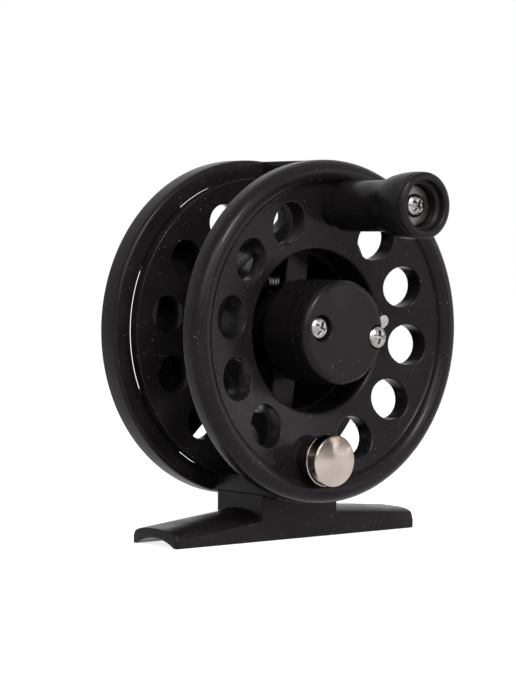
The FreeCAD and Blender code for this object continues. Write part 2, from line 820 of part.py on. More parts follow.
# Plated button opposite the handle, screwed on from behind the flange.
def weight_screw_seat():
    return flange_front(weight_circle) + 0.5 * flange_thickness + 0.75


def make_counterweight():
    lip = 0.45
    round_off = 0.55
    neck = weight_radius - 0.1
    brow = weight_crest + 0.5
    shoulder = (neck - round_off, brow)
    button = turned((0, weight_back), [
        (weight_radius, weight_back), (weight_radius, weight_back - lip), (neck, weight_back - lip - 0.1),
        (neck, brow + round_off), round_corner((neck, brow + round_off), (neck, brow), shoulder),
        dome_to_axis(shoulder, weight_crest)])
    button = button.cut(screw_hole(0, 0, weight_screw, weight_screw_seat() - weight_screw[3] - 0.1, past))
    return shifted(button, *weight_at())


def make_counterweight_screw():
    return shifted(pan_screw(weight_screw, weight_screw_seat(), -1), *weight_at())


parts = {
    "frame": make_frame(),
    "spindle": make_spindle(),
    "spindle_washer": make_spindle_washer(),
    "spindle_screw": make_spindle_screw(),
    "spool_front": make_spool_front(),
    "spool_rear": make_spool_rear(),
    "bush_front": make_bush_front(),
    "bush_rear": make_bush_rear(),
    "friction_washer": make_friction_washer(),
    "wave_washer": make_wave_washer(),
    "click_gear": make_click_gear(),
    "gear_screws": make_gear_screws(),
    "click_pawl": make_click_pawl(),
    "pawl_pin": make_pawl_pin(),
    "pawl_spring": make_pawl_spring(),
    "hub_cap": make_hub_cap(),
    "hub_screw": make_hub_screw(),
    "latch_screw": make_latch_screw(),
    "latch_lever": make_latch_lever(),
    "latch_spring": make_latch_spring(),
    "handle_grip": make_handle_grip(),
    "handle_washer": make_handle_washer(),
    "handle_screw": make_handle_screw(),
    "counterweight": make_counterweight(),
    "counterweight_screw": make_counterweight_screw(),
}

os.makedirs("parts", exist_ok=True)
for name, shape in parts.items():
    placed = shape.translated(vec(0, -rim_to_foot_middle, axis_height))
    placed.exportStep("parts/%s.step" % name)
    state = "valid" if placed.isValid() else "NOT VALID"
    print("%-20s %s solids %d volume %.2f mm3" % (name, state, len(placed.Solids), placed.Volume))
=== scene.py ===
import math

import bmesh
import bpy
from mathutils import Matrix, Vector
from mathutils.geometry import tessellate_polygon


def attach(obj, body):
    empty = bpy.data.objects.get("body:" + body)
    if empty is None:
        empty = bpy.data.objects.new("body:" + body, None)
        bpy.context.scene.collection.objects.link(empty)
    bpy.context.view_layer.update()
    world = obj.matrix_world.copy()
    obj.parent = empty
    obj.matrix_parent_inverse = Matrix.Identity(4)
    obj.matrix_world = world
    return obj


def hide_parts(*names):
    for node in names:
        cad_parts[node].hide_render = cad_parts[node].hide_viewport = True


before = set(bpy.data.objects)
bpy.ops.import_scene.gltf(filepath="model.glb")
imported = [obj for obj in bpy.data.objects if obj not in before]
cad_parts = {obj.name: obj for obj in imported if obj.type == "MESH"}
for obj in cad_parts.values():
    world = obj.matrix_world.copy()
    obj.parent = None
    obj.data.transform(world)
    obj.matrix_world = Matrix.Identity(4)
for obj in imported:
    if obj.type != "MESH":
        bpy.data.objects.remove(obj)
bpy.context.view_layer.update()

# The table top and the white sweep
# A small black reel stands on a white table in a light tent: a big soft lamp high on the
# left, a smaller one in front, weak ones lower down, and a white sweep seen as plain white.
camera_azimuth = -39.09
camera_elevation = 2.50
camera_roll = 0.25
camera_place = (-0.31363, -0.37995, 0.05859)

camera = bpy.data.objects.new("camera", bpy.data.cameras.new("camera"))
camera.data.lens = 133.26
camera.data.clip_start = 0.02
turn = math.radians(camera_azimuth)
tilt = math.radians(camera_elevation)
back_of_camera = Vector((math.sin(turn) * math.cos(tilt), -math.cos(turn) * math.cos(tilt), math.sin(tilt)))
camera.rotation_mode = "QUATERNION"
level_view = (-back_of_camera).to_track_quat("-Z", "Y").to_matrix()
camera.rotation_quaternion = (level_view @ Matrix.Rotation(math.radians(camera_roll), 3, "Z")).to_quaternion()
camera.location = camera_place
bpy.context.scene.collection.objects.link(camera)
bpy.context.scene.camera = camera
bpy.context.scene.view_settings.view_transform = "Standard"


def lamp(name, place, aim, size, watts):
    light = bpy.data.lights.new(name, "AREA")
    light.shape = "RECTANGLE"
    light.size, light.size_y = size
    light.energy = watts
    holder = bpy.data.objects.new(name, light)
    holder.location = place
    holder.rotation_euler = (Vector(aim) - Vector(place)).to_track_quat("-Z", "Y").to_euler()
    bpy.context.scene.collection.objects.link(holder)


lamp("soft_lamp_left", (-0.42, -0.45, 0.42), (0, 0, 0.04), (0.45, 0.35), 3.1)
lamp("soft_lamp_front", (-0.14, -0.56, 0.50), (0, 0, 0.04), (0.16, 0.12), 4.0)
lamp("low_front_fill", (0.05, -0.72, 0.30), (0, 0, 0.04), (0.35, 0.30), 1.6)
lamp("soft_lamp_right", (0.58, -0.48, 0.16), (0, 0, 0.04), (0.40, 0.30), 0.8)


def seen_white(tree, plain, bright):
    """One look for the light in the room, another for what the eye, metal and glass see."""
    path = tree.nodes.new("ShaderNodeLightPath")
    looked_at = path.outputs["Is Camera Ray"]
    for kind in ("Is Glossy Ray", "Is Transmission Ray"):
        either = tree.nodes.new("ShaderNodeMath")
        either.operation = "MAXIMUM"
        tree.links.new(looked_at, either.inputs[0])
        tree.links.new(path.outputs[kind], either.inputs[1])
        looked_at = either.outputs[0]
    mix = tree.nodes.new("ShaderNodeMixShader")
    tree.links.new(looked_at, mix.inputs[0])
    tree.links.new(plain, mix.inputs[1])
    tree.links.new(bright, mix.inputs[2])
    return mix.outputs[0]


world = bpy.data.worlds.new("tent")
bpy.context.scene.world = world
world.use_nodes = True
room = world.node_tree
room.nodes.clear()
dim_room = room.nodes.new("ShaderNodeBackground")
dim_room.inputs["Color"].default_value = (1, 1, 1, 1)
dim_room.inputs["Strength"].default_value = 0.3
bright_room = room.nodes.new("ShaderNodeBackground")
bright_room.inputs["Color"].default_value = (1, 1, 1, 1)
bright_room.inputs["Strength"].default_value = 1.0
room_out = room.nodes.new("ShaderNodeOutputWorld")
room.links.new(seen_white(room, dim_room.outputs[0], bright_room.outputs[0]), room_out.inputs[0])

table_half, table_level = 1.5, -0.0001
sheet = bpy.data.meshes.new("table_top")
sheet.from_pydata([(x * table_half, y * table_half, table_level) for x, y in ((-1, -1), (1, -1), (1, 1), (-1, 1))],
                  [], [(0, 1, 2, 3)])
table = bpy.data.objects.new("table_top", sheet)
bpy.context.scene.collection.objects.link(table)
white_paper = bpy.data.materials.new("white_table")
white_paper.use_nodes = True
paper = white_paper.node_tree
paper.nodes.clear()
paper_shade = paper.nodes.new("ShaderNodeBsdfDiffuse")
paper_shade.inputs["Color"].default_value = (0.62, 0.62, 0.62, 1)
paper_glow = paper.nodes.new("ShaderNodeEmission")
paper_glow.inputs["Color"].default_value = (1, 1, 1, 1)
paper_glow.inputs["Strength"].default_value = 0.82
paper_sum = paper.nodes.new("ShaderNodeAddShader")
paper.links.new(paper_shade.outputs[0], paper_sum.inputs[0])
paper.links.new(paper_glow.outputs[0], paper_sum.inputs[1])
paper_out = paper.nodes.new("ShaderNodeOutputMaterial")
paper.links.new(seen_white(paper, paper_shade.outputs[0], paper_sum.outputs[0]), paper_out.inputs[0])
table.data.materials.append(white_paper)

# Rear ring
# The ring round the back of the spool. With the back plate, the two bars, the stem and the
# foot it is one moulding in black plastic; it stands open to the front and has soft edges.
axis_height = 39.95
rim_to_foot_middle = 16.5
ring_radius, ring_inner = 32.8, 29.28
ring_front, ring_back = 24.95, 29.7


def at(x, depth, z):
    """Millimetres from the spool's axis and the crest of its rim, to the reel's own frame."""
    return Vector((x, depth - rim_to_foot_middle, z + axis_height)) * 0.001


def polar(radius, degrees):
    angle = math.radians(degrees)
    return (radius * math.cos(angle), radius * math.sin(angle))


def softened(corners, closed=True, steps=4):
    """A 2-D line whose corners (a, b, radius) are rounded off."""
    line = []
    count = len(corners)
    for i, corner in enumerate(corners):
        here = Vector(corner[:2])
        soft = corner[2] if len(corner) > 2 else 0
        if soft == 0 or (not closed and i in (0, count - 1)):
            line.append(tuple(here))
            continue
        before = Vector(corners[i - 1][:2]) - here
        after = Vector(corners[(i + 1) % count][:2]) - here
        angle = before.angle(after)
        reach = soft / math.tan(angle / 2)
        reach = min(reach, 0.499 * before.length, 0.499 * after.length)
        soft = reach * math.tan(angle / 2)
        middle = here + (before.normalized() + after.normalized()).normalized() * soft / math.sin(angle / 2)
        first = here + before.normalized() * reach - middle
        last = here + after.normalized() * reach - middle
        turn = first.angle_signed(last)
        for step in range(steps + 1):
            line.append(tuple(middle + Matrix.Rotation(-turn * step / steps, 2) @ first))
    return line


def solid_piece(name, form, material, body, node, edge=38):
    """The finished mesh as a piece that rides on a body and stands for a node."""
    bmesh.ops.remove_doubles(form, verts=form.verts, dist=1e-7)
    bmesh.ops.recalc_face_normals(form, faces=form.faces)
    mesh = bpy.data.meshes.new(name)
    form.to_mesh(mesh)
    form.free()
    mesh.materials.append(material)
    mesh.polygons.foreach_set("use_smooth", [True] * len(mesh.polygons))
    mesh.set_sharp_from_angle(angle=math.radians(edge))
    piece = bpy.data.objects.new(name, mesh)
    bpy.context.scene.collection.objects.link(piece)
    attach(piece, body)
    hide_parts(node)


def ringed(form, rings):
    """Bands of faces from ring to ring; a ring of one corner is a tip."""
    for low, high in zip(rings, rings[1:]):
        around = max(len(low), len(high))
        for i in range(around):
            j = (i + 1) % around
            if len(low) == 1:
                form.faces.new((low[0], high[i], high[j]))
            elif len(high) == 1:
                form.faces.new((low[i], high[0], low[j]))
            else:
                form.faces.new((low[i], high[i], high[j], low[j]))


def lathe(form, profile, centre=(0, 0), turns=120, first=0.0, closed=True):
    """Turns a line of (radius, depth) about an axis that runs front to back."""
    rings = []
    for radius, depth in profile:
        if radius < 1e-6:
            rings.append([form.verts.new(at(centre[0], depth, centre[1]))])
            continue
        ring = []
        for i in range(turns):
            x, z = polar(radius, first + 360 * i / turns)
            ring.append(form.verts.new(at(centre[0] + x, depth, centre[1] + z)))
        rings.append(ring)
    ringed(form, rings + rings[:1] if closed else rings)


def moulded(name, tone, rough, specks, grain=0.05):
    """Black moulded plastic: a slightly cloudy tone, a fine skin, and white dust specks."""
    material = bpy.data.materials.new(name)
    material.use_nodes = True
    tree = material.node_tree
    shade = tree.nodes["Principled BSDF"]
    shade.inputs["Specular IOR Level"].default_value = 0.09
    shade.inputs["Specular Tint"].default_value = (1.0, 0.90, 0.97, 1)
    place = tree.nodes.new("ShaderNodeTexCoord").outputs["Object"]

    def noise(scale, detail=3.0, rough_amount=0.55):
        cloud = tree.nodes.new("ShaderNodeTexNoise")
        cloud.inputs["Scale"].default_value = scale
        cloud.inputs["Detail"].default_value = detail
        cloud.inputs["Roughness"].default_value = rough_amount
        tree.links.new(place, cloud.inputs["Vector"])
        return cloud.outputs["Fac"]

    def ranged(value, low, high, to_low, to_high):
        ramp = tree.nodes.new("ShaderNodeMapRange")
        ramp.inputs["From Min"].default_value = low
        ramp.inputs["From Max"].default_value = high
        ramp.inputs["To Min"].default_value = to_low
        ramp.inputs["To Max"].default_value = to_high
        tree.links.new(value, ramp.inputs["Value"])
        return ramp.outputs["Result"]

    crowd = noise(scale=130, detail=2.0)

    def dust(cells, size, share):
        """Small round motes, one in some of the cells."""
        cell = tree.nodes.new("ShaderNodeTexVoronoi")
        cell.inputs["Scale"].default_value = cells
        tree.links.new(place, cell.inputs["Vector"])
        near = ranged(cell.outputs["Distance"], size * 0.6, size, 1.0, 0.0)
        pick = tree.nodes.new("ShaderNodeSeparateColor")
        tree.links.new(cell.outputs["Color"], pick.inputs[0])
        chosen = tree.nodes.new("ShaderNodeMath")
        chosen.operation = "LESS_THAN"
        tree.links.new(ranged(crowd, 0.38, 0.66, 0.1 * share, 2.4 * share), chosen.inputs[1])
        tree.links.new(pick.outputs[0], chosen.inputs[0])
        mote = tree.nodes.new("ShaderNodeMath")
        mote.operation = "MULTIPLY"
        tree.links.new(near, mote.inputs[0])
        tree.links.new(chosen.outputs[0], mote.inputs[1])
        return mote.outputs[0]

    tones = tree.nodes.new("ShaderNodeMix")
    tones.data_type = "RGBA"
    for side, strength in (("A", 0.78), ("B", 1.25)):
        tones.inputs[side].default_value = (*[strength * c for c in tone], 1)
    tree.links.new(ranged(noise(scale=90), 0.3, 0.7, 0.0, 1.0), tones.inputs["Factor"])
    both = tree.nodes.new("ShaderNodeMath")
    both.operation = "MAXIMUM"
    tree.links.new(dust(cells=620, size=0.070, share=0.22 * specks), both.inputs[0])
    tree.links.new(dust(cells=1500, size=0.110, share=0.30 * specks), both.inputs[1])
    dusty = tree.nodes.new("ShaderNodeMix")
    dusty.data_type = "RGBA"
    dusty.inputs["B"].default_value = (0.20, 0.19, 0.19, 1)
    tree.links.new(both.outputs[0], dusty.inputs["Factor"])
    tree.links.new(tones.outputs["Result"], dusty.inputs["A"])
    tree.links.new(dusty.outputs["Result"], shade.inputs["Base Color"])
    patchy = ranged(noise(scale=160, detail=5.0, rough_amount=0.6), 0.3, 0.7, rough - 0.06, rough + 0.06)
    tree.links.new(patchy, shade.inputs["Roughness"])
    skin = tree.nodes.new("ShaderNodeBump")
    skin.inputs["Strength"].default_value = grain
    skin.inputs["Distance"].default_value = 0.00004
    tree.links.new(noise(scale=2600, detail=2.0), skin.inputs["Height"])
    tree.links.new(skin.outputs["Normal"], shade.inputs["Normal"])
    return material


body_plastic = moulded("black_body_plastic", (0.0062, 0.0054, 0.0059), 0.30, 0.7)

ring_profile = softened([
    (ring_inner, ring_front, 0.04), (ring_radius, ring_front, 0.8),
    (ring_radius, ring_back, 0.45), (ring_inner, ring_back, 0.2)], steps=6)
form = bmesh.new()
lathe(form, ring_profile, turns=180)
solid_piece("rear_ring", form, body_plastic, "reel_frame", "frame")

# Back plate
# The web inside the ring's back, moulded with it. Four windows with slanting sides leave
# the spool's rear flange open, and a plain middle carries the spindle.
plate_front, plate_radius = 27.6, 29.9
window_edge, window_corner = 28.6, 0.6


def offset_loop(loop, gap):
    """A closed outline moved by gap to its right-hand side as it is walked."""
    moved = []
    count = len(loop)
    for i in range(count):
        here = Vector(loop[i])
        before = (here - Vector(loop[i - 1])).normalized()
        after = (Vector(loop[(i + 1) % count]) - here).normalized()
        side = Vector((before.y + after.y, -before.x - after.x)).normalized()
        stretch = max(0.5, side.dot(Vector((before.y, -before.x))))
        moved.append(tuple(here + side * gap / stretch))
    return moved


def fill(form, rings):
    """Closes a flat face between an outer ring of corners and the rings inside it."""
    corners = [v for ring in rings for v in ring]
    for a, b, c in tessellate_polygon([[v.co * 1000 for v in ring] for ring in rings]):
        form.faces.new((corners[a], corners[b], corners[c]))


def slab(form, loops, front, back):
    """A flat piece seen from the front. Each loop is (outline, soft at front, soft at back);
    the first one is walked counter-clockwise, and any holes clockwise. A narrow flat band
    beside each soft edge keeps the faces even."""
    band = 0.04
    front_rings, back_rings = [], []
    for outline, soft_front, soft_back in loops:
        rows = [(-soft_front - band, front)]
        for x, z in (polar(1, 90 * step / 4) for step in range(5)):
            rows.append((soft_front * (z - 1), front + soft_front * (1 - x)))
        for x, z in (polar(1, 90 * step / 4) for step in range(5)):
            rows.append((soft_back * (x - 1), back - soft_back * (1 - z)))
        rows.append((-soft_back - band, back))
        rings = []
        for gap, depth in rows:
            rings.append([form.verts.new(at(x, depth, z)) for x, z in offset_loop(outline, gap)])
        ringed(form, rings)
        front_rings.append(rings[0])
        back_rings.append(rings[-1])
    fill(form, front_rings)
    fill(form, back_rings)


def circle(x, z, radius, steps=48, clockwise=False):
    points = [(x + a, z + b) for a, b in (polar(radius, 360 * i / steps) for i in range(steps))]
    return points[::-1] if clockwise else points


def arc(radius, start, end, steps):
    return [polar(radius, start + (end - start) * i / steps) for i in range(steps + 1)]


def window_outline(middle, inner_half, outer_half, inner_radius):
    """One window in the back plate: an inner arc, an outer arc and two straight sides."""
    inner = [(*p, 0) for p in arc(inner_radius, middle + inner_half, middle - inner_half, 14)]
    outer = [(*p, 0) for p in arc(window_edge, middle - outer_half, middle + outer_half, 24)]
    for corner in (0, -1):
        inner[corner] = (*inner[corner][:2], window_corner)
    return softened(inner + outer, steps=3)[::-1]


top_window, bottom_window = (92, 24, 31.5, 19.5), (270, 26, 33, 19.5)
right_window, left_window = (0, 20, 27.4, 21.2), (180, 20, 27.4, 21.2)
form = bmesh.new()
plate_loops = [(circle(0, 0, plate_radius, 180), 0.02, 0.02)]
for window in (top_window, bottom_window, right_window, left_window):
    plate_loops.append((window_outline(*window), 0.04, 0.2))
slab(form, plate_loops, plate_front, ring_back - 0.02)
solid_piece("back_plate", form, body_plastic, "reel_frame", "frame")

# Top and bottom bars
# Two bars moulded to the ring that reach forward over the spool to just behind its front
# flange. Each follows the ring's curve between two upright sides.
top_bar, bottom_bar = (3.2, 12.4), (-9.35, 9.35)
bar_front, bar_corner, bar_root_radius = 5.3, 0.35, 27.3


def bar_outline(left, right, side, outer, inner):
    """The end view of a bar that follows the ring's curve between two upright sides."""
    def angle(x, radius):
        return side * math.degrees(math.acos(x / radius))

    first, last = (right, left) if side > 0 else (left, right)
    line = [(*p, 0) for p in arc(outer, angle(first, outer), angle(last, outer), 16)]
    line += [(*p, 0) for p in arc(inner, angle(last, inner), angle(first, inner), 16)]
    for corner in (0, 16):
        line[corner] = (*line[corner][:2], bar_corner)
    return softened(line, steps=3)


for name, (left, right), side in (("top_bar", top_bar, 1), ("bottom_bar", bottom_bar, -1)):
    form = bmesh.new()
    bridge = bar_outline(left, right, side, ring_radius, ring_inner)
    slab(form, [(bridge, 0.3, 0.05)], bar_front, ring_front + 1.2)
    bar_root = bar_outline(left, right, side, ring_inner + 0.9, bar_root_radius)
    slab(form, [(bar_root, 0.15, 0.2)], plate_front + 0.02, ring_back)
    solid_piece(name, form, body_plastic, "reel_frame", "frame")

# Stem and foot
# A flat stem hangs from the bottom bar and runs flush into the near side of a long foot.
# The foot is arched above for a sliding ring and gutter-shaped below for the rod.
foot_end, foot_half_width, foot_corner, end_edge = 29.75, 6.9, 0.6, 0.3
stem_half, stem_height, stem_fillet, stem_corner = 9.35, 8.95, 0.6, 0.2
left_tip, root, right_tip = (1.5, 3.3, 2.4), (3.9, 5.6, 2.0), (1.6, 3.9, 3.2)
gutter_half, gutter_deep, crown_corner = 5.9, 1.5, 0.93


def crown(size):
    """The top of the foot's end view in 49 points, from one edge over the crest to the
    other, for a size of (height at the edge, height at the crest, squareness)."""
    edge, crest, squareness = size
    points = []
    for i in range(49):
        across, up = polar(1, 180 * i / 48)
        across = math.copysign(abs(across) ** (2 / squareness), across)
        up = abs(up) ** (2 / squareness)
        if abs(across) > crown_corner:
            up = (1 - crown_corner ** squareness) ** (1 / squareness)
            up *= (1 - abs(across)) / (1 - crown_corner)
        points.append(Vector((across * foot_half_width, edge + up * (crest - edge))))
    return points


def stem_top(x, edge):
    """The stem's end view at x, in as many points as the crown has."""
    into = max(0.0, abs(x) - (stem_half - stem_corner))
    side = foot_half_width - (stem_corner - math.sqrt(max(0.0, stem_corner ** 2 - into ** 2)))
    up = [Vector((side, edge + (stem_height - edge) * i / 12)) for i in range(1, 12)]
    over = [Vector((side * (1 - i / 12), stem_height)) for i in range(25)]
    down = [Vector((-point.x, point.y)) for point in reversed(up)]
    return [Vector((foot_half_width, edge))] + up + over + down + [Vector((-foot_half_width, edge))]


def foot_section(x, stem=False):
    """The arched end view of the foot at x, walked round from the near rail."""
    rise = max(0.0, (abs(x) - stem_half) / (foot_end - stem_half))
    tip = crown(right_tip if x > 0 else left_tip)
    into = max(0.0, abs(x) - (foot_end - foot_corner))
    end = max(0.0, abs(x) - (foot_end - end_edge))
    pinch = end_edge - math.sqrt(max(0.0, end_edge ** 2 - end ** 2))
    near_stem = max(0.0, stem_half + stem_fillet - abs(x))
    lift = 0 if stem else stem_fillet - math.sqrt(max(0.0, stem_fillet ** 2 - near_stem ** 2))
    half = foot_half_width - (foot_corner - math.sqrt(max(0.0, foot_corner ** 2 - into ** 2)))
    top = []
    for low, high in zip(tip, stem_top(x, root[0]) if stem else crown(root)):
        point = high.lerp(low, rise)
        top.append((point.x * half / foot_half_width, point.y - pinch + lift, 0))
    bend = (gutter_half ** 2 + gutter_deep ** 2) / (2 * gutter_deep)
    hollow = []
    for i in range(15):
        across = gutter_half * (i / 7 - 1)
        height = math.sqrt(bend ** 2 - across ** 2) - (bend - gutter_deep)
        hollow.append((min(half - 0.4, max(0.4 - half, across)), max(0.0, height) + 0.6 * pinch, 0))
    for lip in (0, -1):
        hollow[lip] = (*hollow[lip][:2], 0.15)
    rails = [(-half, pinch, 0.2)] + hollow + [(half, pinch, 0.2)]
    return softened(rails + top, steps=2)


along_foot = [foot_end, 29.72, 29.64, 29.55, 29.45, 29.3, 29.15, 26, 21, 15]
beside_stem = [9.95, 9.75, 9.6, 9.47, 9.38, stem_half]
in_stem = [stem_half, 9.32, 9.25, 9.15, 4]
half_way = [(x, False) for x in along_foot + beside_stem] + [(x, True) for x in in_stem]
form = bmesh.new()
rows = []
for x, stem in [(-x, stem) for x, stem in half_way] + half_way[::-1]:
    rows.append([form.verts.new(at(x, rim_to_foot_middle + across, up - axis_height))
                 for across, up in foot_section(x, stem)])
ringed(form, rows)
fill(form, [rows[0]])
fill(form, [rows[-1]])
solid_piece("stem_and_foot", form, body_plastic, "reel_frame", "frame", 15)

# Bosses on the back plate
# Moulded on the plate: a round boss that the spindle is drawn into, a small boss for the
# pawl's pin, and a block that the pawl's coil rests against.
pawl_pivot, pawl_boss_face = (0.5, 12.2), 26.5
spring_level, spring_left, spring_depth = 9.1, 4.3, 25.7
boss_root, boss_face = plate_front + 0.3, ring_back + 1.1


def block(form, low, high, soft):
    """A softened block between two corners (x, depth, z)."""
    corners = [form.verts.new(at(*(low[a] if pick[a] else high[a] for a in range(3))))
               for pick in [(i & 1, i >> 1 & 1, i >> 2 & 1) for i in range(8)]]
    faces = [form.faces.new([corners[i] for i in quad]) for quad in (
        (0, 1, 3, 2), (4, 6, 7, 5), (0, 4, 5, 1), (2, 3, 7, 6), (0, 2, 6, 4), (1, 5, 7, 3))]
    bmesh.ops.recalc_face_normals(form, faces=faces)
    edges = list({edge for face in faces for edge in face.edges})
    bmesh.ops.bevel(form, geom=edges, offset=soft * 0.001, offset_type="OFFSET", segments=2,
                    profile=0.5, affect="EDGES", clamp_overlap=True)


form = bmesh.new()
spindle_boss = softened([(0, boss_root), (6.5, boss_root), (6.5, boss_face, 0.3), (3.02, boss_face),
                         (3.02, boss_root)], closed=False)
lathe(form, spindle_boss, turns=72, closed=False)
pawl_boss = softened([(0.9, boss_root), (1.9, boss_root), (1.9, pawl_boss_face, 0.15), (0.9, pawl_boss_face, 0.1)])
lathe(form, pawl_boss, centre=pawl_pivot, turns=36)
block(form, (8.55, 24.7, spring_level - 1.2), (10.55, boss_root, spring_level + 1.2), 0.15)
solid_piece("plate_bosses", form, body_plastic, "reel_frame", "frame")

# Spindle, its washer and its screw
# A turned steel axle with a collar against the plate and a groove for the latch, drawn
# into the plate's boss from behind by a zinc-plated screw over a washer.


def metal(name, tone, rough, cloud=40, smudge=0.25):
    """Bare or plated metal with uneven polish, light smudges and a fine grain."""
    material = bpy.data.materials.new(name)
    material.use_nodes = True
    tree = material.node_tree
    shade = tree.nodes["Principled BSDF"]
    shade.inputs["Metallic"].default_value = 1.0
    place = tree.nodes.new("ShaderNodeTexCoord").outputs["Object"]
    clouds = tree.nodes.new("ShaderNodeTexNoise")
    clouds.inputs["Scale"].default_value = cloud * 10
    clouds.inputs["Detail"].default_value = 5
    tree.links.new(place, clouds.inputs["Vector"])
    fine = tree.nodes.new("ShaderNodeTexNoise")
    fine.inputs["Scale"].default_value = 2200
    fine.inputs["Detail"].default_value = 3
    tree.links.new(place, fine.inputs["Vector"])
    tones = tree.nodes.new("ShaderNodeMix")
    tones.data_type = "RGBA"
    tones.inputs["A"].default_value = (*[(1 - smudge) * c for c in tone], 1)
    tones.inputs["B"].default_value = (*tone, 1)
    spread = tree.nodes.new("ShaderNodeMapRange")
    spread.inputs["From Min"].default_value = 0.35
    spread.inputs["From Max"].default_value = 0.55
    tree.links.new(clouds.outputs["Fac"], spread.inputs["Value"])
    tree.links.new(spread.outputs["Result"], tones.inputs["Factor"])
    tree.links.new(tones.outputs["Result"], shade.inputs["Base Color"])
    polish = tree.nodes.new("ShaderNodeMapRange")
    polish.inputs["From Min"].default_value = 0.3
    polish.inputs["From Max"].default_value = 0.7
    polish.inputs["To Min"].default_value = max(0.04, rough - 0.07)
    polish.inputs["To Max"].default_value = rough + 0.10
    tree.links.new(clouds.outputs["Fac"], polish.inputs["Value"])
    tree.links.new(polish.outputs["Result"], shade.inputs["Roughness"])
    skin = tree.nodes.new("ShaderNodeBump")
    skin.inputs["Strength"].default_value = 0.12
    skin.inputs["Distance"].default_value = 0.00002
    tree.links.new(fine.outputs["Fac"], skin.inputs["Height"])
    tree.links.new(skin.outputs["Normal"], shade.inputs["Normal"])
    return material


def dress(node, material, soft=0.0):
    """A CAD piece kept as it is, with its finish and softly broken edges."""
    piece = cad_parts[node]
    piece.data.materials.clear()
    piece.data.materials.append(material)
    if soft:
        bevel = piece.modifiers.new("broken_edges", "BEVEL")
        bevel.width = soft * 0.001
        bevel.segments = 2
        bevel.limit_method = "ANGLE"
        bevel.angle_limit = math.radians(50)
        bevel.harden_normals = False


zinc_plate = metal("zinc_plate", (0.29, 0.283, 0.277), 0.24, smudge=0.55)
turned_steel = metal("turned_steel", (0.45, 0.45, 0.44), 0.22)
dress("spindle", turned_steel)
dress("spindle_washer", zinc_plate)


def cross_head(form, centre, radius, face, seat, lean, facing=1):
    """A domed screw head with a cross recess pressed into it."""
    height = abs(seat - face)
    slot_half, slot_reach, slot_edge = 0.15, 0.60, 0.05
    rings = []
    around, outward = 96, 34
    for i in range(outward + 1):
        share = (i / outward) ** 0.8
        ring = []
        for j in range(around if i else 1):
            x, z = polar(radius * share, 360 * j / around)
            p, q = (Matrix.Rotation(math.radians(lean), 2) @ Vector((x, z))) / radius
            dome = 1 - (max(0.0, 1 - share ** 2.8)) ** 0.5
            slots = max(min((slot_half - abs(a)) / slot_edge, (slot_reach - abs(b)) / (3.5 * slot_edge))
                        for a, b in ((p, q), (q, p)))
            dish = min(1.0, max(0.0, slots + 0.15))
            depth = face + facing * height * (dome * 0.92 + 0.62 * dish)
            ring.append(form.verts.new(at(centre[0] + x, depth, centre[1] + z)))
        rings.append(ring)
    wall = [form.verts.new(v.co) for v in rings[-1]]
    for v in wall:
        v.co.y = at(0, seat, 0).y
    rings.append(wall)
    rings.append([form.verts.new(at(centre[0], seat, centre[1]))])
    ringed(form, rings)


def shank(form, centre, radius, start, end):
    lathe(form, softened([(0, start), (radius, start), (radius, end, 0.3), (0, end)], closed=False),
          centre=centre, turns=32, closed=False)


spindle_seat = 31.5
form = bmesh.new()
cross_head(form, (0, 0), 2.9, spindle_seat + 1.6, spindle_seat, 20, -1)
shank(form, (0, 0), 1.2, spindle_seat, 23.8)
solid_piece("rear_screw", form, zinc_plate, "reel_frame", "spindle_screw", 60)

# Click pawl, its pin and its spring
# A small black arm on a steel pin; its nose drops between the gear's teeth and a bright
# coil, seen past the hub, pushes it home against a block on the plate.
gear_plastic = moulded("black_gear_plastic", (0.014, 0.014, 0.015), 0.38, 0.2)
dress("click_pawl", gear_plastic, 0.08)
dress("pawl_pin", turned_steel)
spring_steel = metal("spring_steel", (0.72, 0.72, 0.72), 0.18)
wire_radius, coil_radius, coil_length = 0.27, 0.63, 3.66
turns_of_coil, steps_per_turn = 5, 24
coil = bpy.data.curves.new("pawl_coil", "CURVE")
coil.dimensions = "3D"
coil.bevel_depth = wire_radius * 0.001
coil.bevel_resolution = 4
coil.use_fill_caps = True
line = coil.splines.new("POLY")
line.points.add(turns_of_coil * steps_per_turn)
for i, point in enumerate(line.points):
    share = i / (turns_of_coil * steps_per_turn)
    across, up = polar(coil_radius, 360 * turns_of_coil * share)
    along = spring_left + wire_radius + coil_length * share
    point.co = (*at(along, spring_depth + across, spring_level + up), 1)
pawl_coil = bpy.data.objects.new("pawl_coil", coil)
bpy.context.scene.collection.objects.link(pawl_coil)
# The coil gets a whiter copy of spring steel: painted light, so it reads bright deep inside the dark arbor.
coil.materials.append(metal("spring_wire_painted_bright", (0.97, 0.96, 0.95), 0.5, smudge=0.1))
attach(pawl_coil, "reel_frame")
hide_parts("pawl_spring")

# Washers between the collar and the spool
# A wavy spring-steel washer stays with the spindle; a red-brown fibre washer turns with
# the spool against it.
fibre = moulded("red_fibre", (0.20, 0.10, 0.055), 0.6, 0.0, grain=0.2)
dress("wave_washer", spring_steel)
dress("friction_washer", fibre)

# Bushes and click gear
# Plain brass bushes pressed in both ends of the hub's bore, and a black toothed wheel
# held on the sleeve by three small sunk screws.
brass = metal("turned_brass", (0.72, 0.50, 0.22), 0.25)
dress("bush_front", brass)
dress("bush_rear", brass)
dress("click_gear", gear_plastic, 0.06)
dress("gear_screws", zinc_plate)

